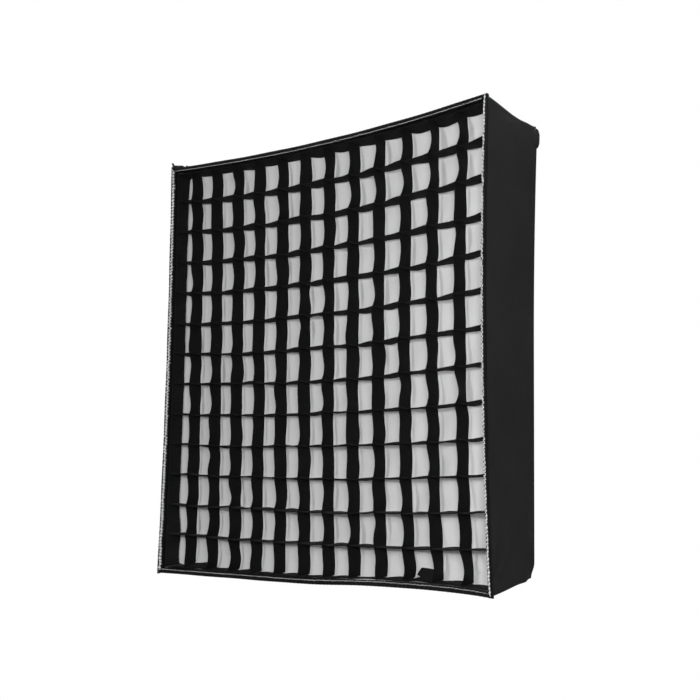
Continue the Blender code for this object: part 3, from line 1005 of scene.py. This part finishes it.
    def build_pockets(self, finish: bpy.types.Material) -> None:
        """The padded pocket over each upper rod's end, behind the rear edge: a rounded lump with signed
        powers of sine and cosine on its outline, a little fuller towards its top.

        Args:
            finish: their material.
        """
        around, up = mesh_grid(np.linspace(0, 2 * pi, 28, endpoint=False), np.linspace(-0.5, 0.5, 15) * pi)
        power = self.pocket_power
        ring = np.abs(np.cos(up)) ** power
        half_x, half_y, half_z = self.pocket_half
        out, ahead, below = self.pocket_at
        x = half_x * signed_power(np.cos(around), power) * ring
        y = half_y * signed_power(np.sin(around), power) * ring * (1 + 0.12 * np.sin(up))
        z = half_z * signed_power(np.sin(up), power) + 0.0004 * np.sin(around * 3)
        uv = np.stack([around * 0.006, up * 0.012], -1)
        for word, sign in (("right", 1), ("left", -1)):
            middle = (sign * out, BOX.rim_y + BOX.depth - ahead, BOX.centre_z + BOX.rear_half - below)
            points = np.stack([x, y, z], -1) + np.array(middle)
            piece = ring_solid(f"rod_pocket_{word}", points.transpose(1, 0, 2), uv.transpose(1, 0, 2), 60)
            dress(piece, finish, "black_fabric", "shell")


# --- diffuser and grid ----------------------------------------------------------------------------


@dataclass
class Diffuser:
    """The white sheet behind the grid.

    Attributes:
        setback: distance behind the rim.
        half: half its width.
        thick: thickness of the cloth.
        corner_cut: how much its corners are rounded off.
        waves: heights of the slow and the quick waves all over it.
        folds: heights of the broad and the fine folds where it lies loose.
        corner_folds: height of the folds that fan out from its corners.
        belly: how far its middle lies behind its edge.
    """

    setback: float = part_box("diffuser")[0].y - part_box("rim_binding_top")[0].y + 0.0006
    half: float = 0.3135
    thick: float = 0.0009
    corner_cut: float = 0.022
    waves: tuple[float, float] = (0.0007, 0.0003)
    folds: tuple[float, float] = (0.0024, 0.0010)
    corner_folds: float = 0.0011
    belly: float = 0.0024

    def build(self, finish: bpy.types.Material) -> None:
        """A square sheet with rounded corners that follows the pulled-in edges. Its relief is a sum of
        slow waves, folds that grow towards the right and the bottom, fans of folds in the corners, and a
        slight belly, all sines of both coordinates.

        Args:
            finish: its material.
        """
        a, b = mesh_grid(np.linspace(-1, 1, 151), np.linspace(-1, 1, 151))
        round_off = 1 - self.corner_cut * (np.abs(a) * np.abs(b)) ** 9
        x, z = a * self.half * round_off, b * self.half * round_off
        right, left = BOX.pull(Side.RIGHT, z, self.half, 0), BOX.pull(Side.LEFT, z, self.half, 0)
        top, bottom = BOX.pull(Side.TOP, x, self.half, 0), BOX.pull(Side.BOTTOM, -x, self.half, 0)
        pull_x = np.where(a > 0, right, left) * np.abs(a)
        pull_z = np.where(b > 0, top, bottom) * np.abs(b)
        x, z = x - np.sign(a) * pull_x, z - np.sign(b) * pull_z
        slow, quick = self.waves
        relief = slow * np.sin(a * 9 + b * 5) * np.cos(b * 8 - a * 3) + quick * np.sin(a * 27 + b * 33)
        loose = ease((a + 0.25) / 1.1) * (0.45 + 0.55 * ease((0.35 - b) / 1.2))
        broad, fine = self.folds
        relief += broad * loose * np.sin(a * 15 - b * 11 + 1.4 * np.sin(b * 5 + a * 3))
        relief += fine * loose * np.sin(a * 37 - b * 29 + 2 * np.sin(b * 4))
        corner = np.exp(-((1 - np.abs(a)) ** 2 + (1 - np.abs(b)) ** 2) / 0.05)
        fan = np.arctan2(1 - np.abs(a) + 0.02, 1 - np.abs(b) + 0.02)
        relief += self.corner_folds * corner * np.sin(fan * 17 + a * 3)
        edge = ease((1 - np.maximum(np.abs(a), np.abs(b))) * 12)
        y = BOX.rim_y + self.setback + (relief + self.belly) * edge
        points = BOX.hang(np.stack([x, y, z + BOX.centre_z], -1))
        uv = np.stack([a * self.half, b * self.half], -1)
        piece = sheet_solid("diffuser_cloth", points[:, ::-1], uv[:, ::-1], self.thick)
        dress(piece, finish, "diffusion_fabric", "diffuser_panel", "diffuser")
        2 * self.half
        2 * self.half


@dataclass(frozen=True)
class Fold:
    """A place where a border band is folded further in: a bell along the edge.

    Attributes:
        height: how far it goes in.
        at: its place along the edge.
        reach: how far it reaches along the edge.
        power: 2 for a round bell, 4 for one with a flat top.
    """

    height: float
    at: float
    reach: float
    power: int = 2


FOLDS = {Side.TOP: (Fold(0.0030, 0.225, 0.018),),
         Side.RIGHT: (),
         Side.BOTTOM: (Fold(0.0065, 0.255, 0.036, 4), Fold(0.0020, -0.2, 0.03)),
         Side.LEFT: (Fold(0.0060, -0.285, 0.050, 4),)}


@dataclass
class Grid:
    """The egg-crate of soft strips and its border bands.

    The crossings lie on an even lattice that sags and is pulled in as its rim is. Between two crossings
    each edge of a strip strays by p sin(pi t^k) + q sin(2 pi t), with its own p and q, so the strips
    twist and curve as limp webbing does.

    Attributes:
        cells: cells along each side.
        thick: thickness of a strip.
        band_thick: thickness of a border band.
        setback: where the strips' front edges lie behind the rim.
        strip_depth: width of a strip, front to back.
        band_extra: how much wider a band is than a strip.
        band_half: from the middle to a band.
        steps: points to a cell along a strip.
        stretch: the lattice's size over the CAD strips', across and up.
        shift: its shift from the middle, across and up.
        lattice_pull: how far it is pulled in from each side.
        sag: how far its middle hangs down.
        bulge: how far its middle moves to the right.
        narrowing: how much narrower it gets towards its top.
        lean: how much it leans over its height, and tilts over its width.
        wander: how far a crossing strays.
        inset: what a band's front and back edge keep from the rim.
        upright_edges: the uprights' front and back edges, sideways from the crossings.
        front_bulge: how far an upright's front edge bulges, in the first three and in the others.
        top_bulge: what its two top cells add to that, in the last three and in the others.
        drop: how far a cross strip's front edge drops in a cell, and what its height adds to that.
        belly: how far a strip bellies across its width.
        end_gap: how far a strip's end runs into its band.
        slack: what a strip's cut length is less than the lattice.
        seed: start of the random draws.
    """

    cells: int = 13
    thick: float = 0.0013
    band_thick: float = 0.0012
    setback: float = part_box("grid_upright_01")[0].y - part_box("rim_binding_top")[0].y
    strip_depth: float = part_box("grid_upright_01")[1].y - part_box("grid_upright_01")[0].y
    band_extra: float = 0.0012
    band_half: float = 0.3135
    steps: int = 12
    stretch: tuple[float, float] = (1.020, 1.019)
    shift: tuple[float, float] = (-0.0003, 0.0046)
    lattice_pull: dict[Side, float] = field(default_factory=lambda: {
        Side.TOP: 0.0150, Side.RIGHT: 0.0088, Side.BOTTOM: -0.0034, Side.LEFT: 0.0058})
    sag: float = 0.0084
    bulge: float = 0.0023
    narrowing: float = 0.0051
    lean: tuple[float, float] = (-0.0145, -0.0030)
    wander: float = 0.0007
    inset: dict[Side, tuple[float, float]] = field(default_factory=lambda: {
        Side.TOP: (0.0022, 0.0066), Side.RIGHT: (0.0, 0.0008), Side.BOTTOM: (0.0008, 0.0030),
        Side.LEFT: (0.0008, 0.0034)})
    upright_edges: tuple[float, float] = (-0.0038, 0.0002)
    front_bulge: tuple[float, float] = (0.0040, 0.0030)
    top_bulge: tuple[float, float] = (0.0034, 0.0008)
    drop: tuple[float, float] = (0.0012, 0.0018)
    belly: float = 0.0005
    end_gap: float = 0.0010
    slack: float = 0.012
    seed: int = 5

    def __post_init__(self) -> None:
        """Works out the crossings from the CAD strips' places."""
        numbers = range(1, self.cells)
        made = []
        for axis, word in ((0, "upright"), (2, "cross")):
            pairs = [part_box(f"grid_{word}_{number:02d}") for number in numbers]
            cad = np.array([(low[axis] + high[axis]) / 2 for low, high in pairs])
            pick = axis // 2
            made.append((cad - cad.mean()) * self.stretch[pick] + self.shift[pick])
        self.chance = np.random.default_rng(self.seed)
        across, up = (np.array([-BOX.front_half, *row, BOX.front_half]) for row in made)
        self.x, self.z = self.warp(*mesh_grid(across, up))
        inner = self.x[1:-1, 1:-1].shape
        self.x[1:-1, 1:-1] += self.chance.normal(0, self.wander, inner)
        self.z[1:-1, 1:-1] += self.chance.normal(0, self.wander, inner)

    def warp(self, x: Array, z: Array) -> tuple[Array, Array]:
        """Moves the even lattice: each side's pull is a parabola along it that fades to the far side, the
        middle sags and swells by parabolas, and the whole leans and narrows a little upwards.

        Args:
            x: places across, from the middle.
            z: places up, from the middle.
        Returns:
            The moved places across and up.
        """
        s, t = x / BOX.front_half, z / BOX.front_half
        u, v = (s + 1) / 2, (t + 1) / 2
        pull = self.lattice_pull
        new_z = z - (v * pull[Side.TOP] - (1 - v) * pull[Side.BOTTOM]) * (1 - s ** 2)
        new_z += self.lean[1] * x - self.sag * (1 - t ** 2)
        new_x = x * (1 - self.narrowing * t)
        new_x += ((1 - u) * pull[Side.LEFT] - u * pull[Side.RIGHT]) * (1 - t ** 2)
        new_x += self.lean[0] * z + self.bulge * (1 - s ** 2)
        return new_x, new_z

    def edge(self, side: Side, along: Array, share: Array) -> Array:
        """Distance out of a border band, following the pulled-in rim, inset more towards its back.

        Args:
            side: the band's side.
            along: distance along the edge from its middle.
            share: 0 at the band's front edge, 1 at its back edge.
        Returns:
            Distance out from the middle.
        """
        front, back = self.inset[side]
        fold = sum(made.height * bell(along, made.at, made.reach, made.power) for made in FOLDS[side])
        width = BOX.front_half
        up = {Side.LEFT: 1, Side.RIGHT: -1}.get(side, 0)
        narrow = 1 - BOX.top_narrowing * 0.85 * along / width * up
        rim = self.band_half * narrow - BOX.pull(side, along, width, self.setback)
        return rim - front - (back - front + fold) * share

    def run(self, count: int) -> tuple[Array, Array]:
        """The cell and the share of it for every step along a strip of so many cells."""
        t = np.arange(count * self.steps + 1) / self.steps
        cell = np.minimum(t.astype(int), count - 1)
        return cell, t - cell

    def stray(self, cell: Array, local: Array, mean: Array, spread: float, twice: float,
              skew: float) -> Array:
        """One edge's stray from the broken line.

        Args:
            cell: cell of each step.
            local: share of the cell.
            mean: middle value of the bulge in each cell.
            spread: how much the bulges differ.
            twice: how large the S-shaped part is.
            skew: power of the share, which moves the bulge towards the cell's start when below 1.
        Returns:
            The stray at each step.
        """
        once = self.chance.normal(mean, spread)
        wave = self.chance.normal(0, twice, len(once))
        return once[cell] * np.sin(pi * local ** skew) + wave[cell] * np.sin(2 * pi * local)

    def strip(self, name: str, node: str, front: Array, back: Array, flat_length: float, rests: list[str],
              flip: bool, finish: bpy.types.Material) -> bpy.types.Object:
        """A strip between its front and back edge lines, with a slight belly across.

        Args:
            name: the piece's name.
            node: the CAD node it stands for.
            front: points of the front edge.
            back: points of the back edge.
            flat_length: its cut length.
            rests: the pieces that hold its ends; not used.
            flip: turns the sheet's first side round.
            finish: its material.
        Returns:
            The new piece.
        """
        share = np.linspace(0, 1, 6)
        points = front[:, None] * (1 - share)[:, None] + back[:, None] * share[:, None]
        run = np.linspace(0, flat_length, len(front))
        ripple = np.sin(run * 160 + len(name) + flat_length * 900)[:, None]
        points[..., 2 if flip else 0] += self.belly * np.sin(pi * share)[None] * ripple
        uv = np.stack(np.broadcast_arrays((share * self.strip_depth)[None], run[:, None]), -1)
        if flip:
            points, uv = points[:, ::-1], uv[:, ::-1]
        piece = dress(sheet_solid(name, points, uv, self.thick), finish, "grid_fabric", "grid", node)
        return piece

    def build_uprights(self, finish: bpy.types.Material) -> None:
        """Twelve uprights between the bottom and the top band. Their front edges bulge to the right, most
        in the upper right corner.

        Args:
            finish: their material.
        """
        cell, local = self.run(self.cells)
        for number in range(1, self.cells):
            mean = np.full(self.cells, self.front_bulge[number > 3])
            mean[-2:] += self.top_bulge[number < 10]
            lines = []
            for pick, share in enumerate((0.0, 1.0)):
                x, z = self.x[number].copy(), self.z[number].copy()
                z[0] = self.end_gap - self.edge(Side.BOTTOM, -x[0], share)
                z[-1] = self.edge(Side.TOP, x[-1], share) - self.end_gap
                if pick:
                    stray = self.stray(cell, local, mean * 0.33, spread=0.0010, twice=0.0006, skew=1.0)
                else:
                    stray = self.stray(cell, local, mean, spread=0.0016, twice=0.0009, skew=0.8)
                x = broken_line(x, cell, local) + self.upright_edges[pick] + stray
                z = broken_line(z, cell, local)
                lines.append(self.line(x, z, share))
            self.strip(f"upright_{number:02d}", f"grid_upright_{number:02d}", *lines,
                       float(np.ptp(self.z[number])) - self.slack, ["border_top", "border_bottom"], False,
                       finish)

    def line(self, x: Array, z: Array, share: float) -> Array:
        """World points of a strip's edge.

        Args:
            x: places across, from the middle.
            z: places up, from the middle.
            share: 0 for the front edge, 1 for the back edge.
        Returns:
            Points, three numbers to each.
        """
        y = np.full_like(x, BOX.rim_y + self.setback + share * self.strip_depth)
        return np.stack([x, y, z + BOX.centre_z], -1)

    def build_cross_strips(self, finish: bpy.types.Material) -> None:
        """Twelve cross strips between the left and the right band. A front edge drops fast after each
        crossing and climbs slowly to the next, more so higher up; a back edge sags a little.

        Args:
            finish: their material.
        """
        cell, local = self.run(self.cells)
        for number in range(1, self.cells):
            high = number / self.cells
            drop = self.drop[0] + self.drop[1] * high ** 2
            low_row = number < 3
            lines = []
            for pick, share in enumerate((0.0, 1.0)):
                x, z = self.x[:, number].copy(), self.z[:, number].copy()
                x[0] = self.end_gap - self.edge(Side.LEFT, z[0], share)
                x[-1] = self.edge(Side.RIGHT, -z[-1], share) - self.end_gap
                if pick:
                    mean = np.full(self.cells, 0.0010 if low_row else -0.0006 - 0.0015 * high ** 3)
                    stray = self.stray(cell, local, mean, spread=0.0006, twice=0.0005, skew=1.0)
                    raised = 0.0004 if low_row else -0.0003
                else:
                    mean = np.full(self.cells, -drop)
                    stray = self.stray(cell, local, mean, spread=drop * 0.3, twice=0.0004, skew=0.5)
                    raised = drop * 0.8 + (-0.0010 if low_row else 0.0005)
                z = broken_line(z, cell, local) + raised + stray
                lines.append(self.line(broken_line(x, cell, local), z, share))
            self.strip(f"cross_strip_{number:02d}", f"grid_cross_{number:02d}", *lines,
                       float(np.ptp(self.x[:, number])) - self.slack, ["border_left", "border_right"], True,
                       finish)

    def build_tab(self, finish: bpy.types.Material) -> bpy.types.Object:
        """A short end of strip that has come loose beside the foot of one upright: a flap that stands on
        the border, leans back, and rolls over as it goes outwards.

        Args:
            finish: its material.
        Returns:
            The new piece.
        """
        along, across = mesh_grid(np.linspace(0, 1, 17), np.linspace(0, 1, 9))
        foot = self.x[self.cells - 2, 0] + self.upright_edges[0]
        roll = 0.25 + 1.1 * along
        x = foot + 0.0040 - 0.0265 * along - 0.0030 * across * along
        y = BOX.rim_y + self.setback - 0.0024 + 0.0125 * across * np.sin(roll) + 0.0015 * along
        floor = -self.edge(Side.BOTTOM, -x, 0.2)
        z = BOX.centre_z + floor + 0.0012 + 0.0165 * across * np.cos(roll * 0.8) + 0.0080 * along ** 1.5
        uv = np.stack([across * 0.01, along * 0.02], -1)
        points = np.stack([x, y, z], -1)
        return dress(sheet_solid("loose_tab", points, uv, self.thick), finish, "grid_fabric", "grid")

    def build_bands(self, finish: bpy.types.Material, ribbed: bpy.types.Material) -> None:
        """Four ribbed border bands. The top and the bottom one are pulled inwards between the strips by an
        uneven amount in each cell, and the side ones are pulled inwards at the strips.

        Args:
            finish: the loose tab's material.
            ribbed: the bands' material.
        """
        tab = self.build_tab(finish)
        cell, local = self.run(self.cells)
        half, width = self.band_half - 0.004, self.strip_depth + self.band_extra
        crossings = {Side.TOP: self.x[:, -1], Side.BOTTOM: -self.x[::-1, 0], Side.LEFT: self.z[0],
                     Side.RIGHT: -self.z[-1, ::-1]}
        share = np.linspace(0, 1, 8)
        for side in Side:
            upright = side in (Side.LEFT, Side.RIGHT)
            knots = np.array([-half, *crossings[side][1:-1], half])
            along = broken_line(knots, cell, local)
            amount = 0.0012 if upright else 0.0016
            mean = np.full(self.cells, amount)
            front = np.abs(self.stray(cell, local, mean * 0.4, spread=amount * 0.3, twice=0.0003, skew=1.0))
            back = np.abs(self.stray(cell, local, mean, spread=amount * 0.6, twice=0.0004, skew=1.0))
            if upright:
                front, back = 0.0008 - front, 0.0016 - 1.5 * back
            inward = front[:, None] * (1 - share) + (back[:, None] - 0.0010) * share ** 1.3
            out = self.edge(side, along[:, None], share[None]) - inward
            setback = self.setback - 0.0004 + share * width
            grid_along, grid_setback = np.broadcast_arrays(along[:, None], setback[None])
            points = BOX.world(side, grid_along, grid_setback, out)
            uv = np.stack([grid_setback, grid_along], -1)
            piece = sheet_solid(f"border_{side.word}", points, uv, self.band_thick)
            dress(piece, ribbed, "grid_fabric", "grid", f"grid_band_{side.word}")


# --- holder ---------------------------------------------------------------------------------------


@dataclass
class Holder:
    """The hub, arms, tilt head and stand receiver, whose CAD shapes get eased edges.

    Attributes:
        crease: edges that turn by more than this many degrees are bevelled.
    """

    crease: float = 40.0

    def ease_edges(self, node: str, name: str, body: str, finish: bpy.types.Material, slot: str,
                   width: float) -> bpy.types.Object:
        """Copies a CAD node, merges its loose triangles, joins flat faces and bevels the edges.

        Args:
            node: the CAD node.
            name: the new piece's name.
            body: the body that it rides on.
            finish: its material.
            slot: its material slot.
            width: the bevel's width.
        Returns:
            The new piece.
        """
        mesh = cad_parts[node].data.copy()
        piece = bpy.data.objects.new(name, mesh)
        bpy.context.scene.collection.objects.link(piece)
        merge_flat(mesh)
        bevel = piece.modifiers.new("eased", "BEVEL")
        bevel.width, bevel.segments = width, 2
        bevel.limit_method, bevel.angle_limit = "ANGLE", radians(self.crease)
        bevel.use_clamp_overlap = True
        mesh.shade_smooth()
        mesh.set_sharp_from_angle(angle=radians(self.crease))
        return dress(piece, finish, slot, body, node)

    def build(self, plastic: bpy.types.Material, alloy: bpy.types.Material,
              steel: bpy.types.Material) -> None:
        """Eases every hard piece of the holder.

        Args:
            plastic: material of the moulded pieces.
            alloy: material of the arms, the yoke and the receiver.
            steel: material of the bolt.
        """
        self.ease_edges("cross_hub", "hub", "head", plastic, "black_plastic", 0.0008)
        self.ease_edges("tilt_yoke", "yoke", "head", alloy, "black_alloy", 0.0007)
        self.ease_edges("tilt_bolt", "bolt", "head", steel, "steel", 0.0004)
        self.ease_edges("tilt_lever", "lock_handle", "lock_lever", plastic, "black_plastic", 0.0015)
        self.ease_edges("stand_receiver", "receiver_block", "receiver", alloy, "black_alloy", 0.0008)
        self.ease_edges("stand_knob", "clamp_knob_grip", "clamp_knob", plastic, "black_plastic", 0.0012)
        for corner in CORNERS:
            body = f"arm_{corner}"
            self.ease_edges(f"holder_arm_{corner}", f"arm_bar_{corner}", body, alloy, "black_alloy", 0.0006)
            self.ease_edges(f"arm_cap_{corner}", f"arm_end_{corner}", body, plastic, "black_plastic", 0.0012)


def merge_flat(mesh: bpy.types.Mesh) -> None:
    """Welds a CAD mesh's loose triangles and joins those that lie in one plane.

    Args:
        mesh: the mesh, changed in place.
    """
    work = bmesh.new()
    work.from_mesh(mesh)
    bmesh.ops.remove_doubles(work, verts=work.verts, dist=1e-6)
    bmesh.ops.dissolve_limit(work, angle_limit=radians(1), verts=work.verts, edges=work.edges)
    work.to_mesh(mesh)
    work.free()


# --- stage ----------------------------------------------------------------------------------------


@dataclass(frozen=True)
class Light:
    """A square soft light that faces the box.

    Attributes:
        name: its name.
        place: where it is, from the middle of the front rim.
        size: its width.
        power: its power in watts.
    """

    name: str
    place: tuple[float, float, float]
    size: float
    power: float


LIGHTS = (Light("key", (-0.75, -4.2, 0.6), 0.4, 45), Light("right", (1.15, -1.15, 0.05), 0.6, 15.5),
          Light("top_right", (0.95, 0.1, 1.1), 0.4, 9), Light("back", (-0.7, 3.0, 1.2), 1.4, 90),
          Light("left", (-2.6, 0.5, 0.9), 1.2, 60))


@dataclass
class Studio:
    """Pale floor, white surroundings, soft lights and the camera.

    Attributes:
        eye: the camera's place, from the middle of the front rim.
        heading: its turn to the left of straight ahead along Y, in degrees.
        pitch: how far it looks up, in degrees.
        roll: its turn about its own line of sight, in degrees.
        lens: focal length in millimetres.
        sensor: width of the picture that the lens throws, in millimetres.
        floor_drop: how far the floor lies below the box.
        floor_reach: the floor's radius.
        floor_fade: shares of that radius between which the floor fades out.
        sky_light: strength of the light from above.
        ground_light: strength of the light from below.
    """

    eye: tuple[float, float, float] = (1.352, -1.3495, -0.1906)
    heading: float = 43.28
    pitch: float = 5.94
    roll: float = 0.685
    lens: float = 69.43
    sensor: float = 36
    floor_drop: float = 1.5
    floor_reach: float = 2.6
    floor_fade: tuple[float, float] = (0.35, 0.98)
    sky_light: float = 0.36
    ground_light: float = 0.03

    def build_camera(self) -> None:
        """A long lens, to the right of the box and a little under its middle, looking slightly up."""
        data = bpy.data.cameras.new("camera")
        data.lens, data.sensor_width = self.lens, self.sensor
        camera = bpy.data.objects.new("camera", data)
        place = Vector(self.eye) + Vector((0, BOX.rim_y, BOX.centre_z))
        camera.matrix_world = (Matrix.Translation(place) @ Matrix.Rotation(radians(self.heading), 4, "Z")
                               @ Matrix.Rotation(radians(90 + self.pitch), 4, "X")
                               @ Matrix.Rotation(radians(self.roll), 4, "Z"))
        bpy.context.scene.collection.objects.link(camera)
        bpy.context.scene.camera = camera

    def build_floor(self) -> None:
        """A pale floor well below the box, which in use hangs on a stand. It fades out in a ring: how
        much of it shows is an even slope over the distance from its middle."""
        turn = np.linspace(0, 2 * pi, 64, endpoint=False)
        x, y, z = np.cos(turn), np.sin(turn), np.full_like(turn, CAD_BOX[0][2] - self.floor_drop)
        points = np.stack([self.floor_reach * x, self.floor_reach * y, z], -1)
        floor = add_mesh("floor", points, [range(len(turn))])
        bench = Bench("pale_floor")
        parts = bench.node("ShaderNodeSeparateXYZ", {}, {0: bench.place()})
        x, y = Wire(bench, parts.outputs[0]), Wire(bench, parts.outputs[1])
        far = (x * x + y * y) ** 0.5
        bench.surface((0.80, 0.80, 0.80, 1), 0.9)
        gone = far.over(*(self.floor_reach * share for share in self.floor_fade))
        bench.feed(bench.shader.inputs["Alpha"], 1 - gone)
        floor.data.materials.append(bench.material)

    def build_light(self, light: Light) -> None:
        """Hangs one light and turns it to the middle of the front rim.

        Args:
            light: its name, place, size and power.
        """
        data = bpy.data.lights.new(light.name, "AREA")
        data.size, data.energy = light.size, light.power
        lamp = bpy.data.objects.new(light.name, data)
        target = Vector((0, BOX.rim_y, BOX.centre_z))
        lamp.location = Vector(light.place) + target
        lamp.rotation_euler = (target - lamp.location).to_track_quat("-Z", "Y").to_euler()
        bpy.context.scene.collection.objects.link(lamp)

    def build_surroundings(self) -> None:
        """White surroundings to look at. The light they give is brightest from above: its strength is a
        smooth step over the height of the direction it comes from."""
        bench = Bench("studio", world=True)
        bpy.context.scene.world = bench.material
        way = bench.node("ShaderNodeTexCoord", {}, {}).outputs["Generated"]
        height = Wire(bench, bench.node("ShaderNodeSeparateXYZ", {}, {0: way}).outputs[2])
        given = height.over(-0.25, 0.9) * (self.sky_light - self.ground_light) + self.ground_light
        seen = Wire(bench, bench.node("ShaderNodeLightPath", {}, {}).outputs["Is Camera Ray"])
        bench.feed(bench.shader.inputs["Color"], (1, 1, 1, 1))
        bench.feed(bench.shader.inputs["Strength"], given * (1 - seen) + seen)

    def build(self) -> None:
        """Builds the surroundings and the lights."""
        bpy.context.scene.view_settings.view_transform = "Standard"
        self.build_surroundings()
        self.build_floor()
        for light in LIGHTS:
            self.build_light(light)


def main() -> None:
    """Builds the camera, the cloth, the holder's finishes and the studio."""
    logging.basicConfig(level=logging.INFO)
    studio = Studio()
    studio.build_camera()
    shell = Shell()
    nylon, steel = NYLON.make(), STEEL.make()
    shell.build_rods(GLASS_FIBRE.make())
    shell.build_walls(nylon, LINING.make())
    shell.build_pockets(nylon)
    shell.build_hook_bands(HOOK_BAND.make())
    shell.build_binding(TAPE.make(), THREAD.make(), GREY_THREAD.make())
    shell.build_hem(ELASTIC.make())
    Diffuser().build(DIFFUSION.make())
    grid, webbing = Grid(), WEBBING.make()
    grid.build_bands(webbing, BORDER.make())
    grid.build_uprights(webbing)
    grid.build_cross_strips(webbing)
    Holder().build(PLASTIC.make(), ALLOY.make(), steel)
    studio.build()


if __name__ == "__main__":
    main()
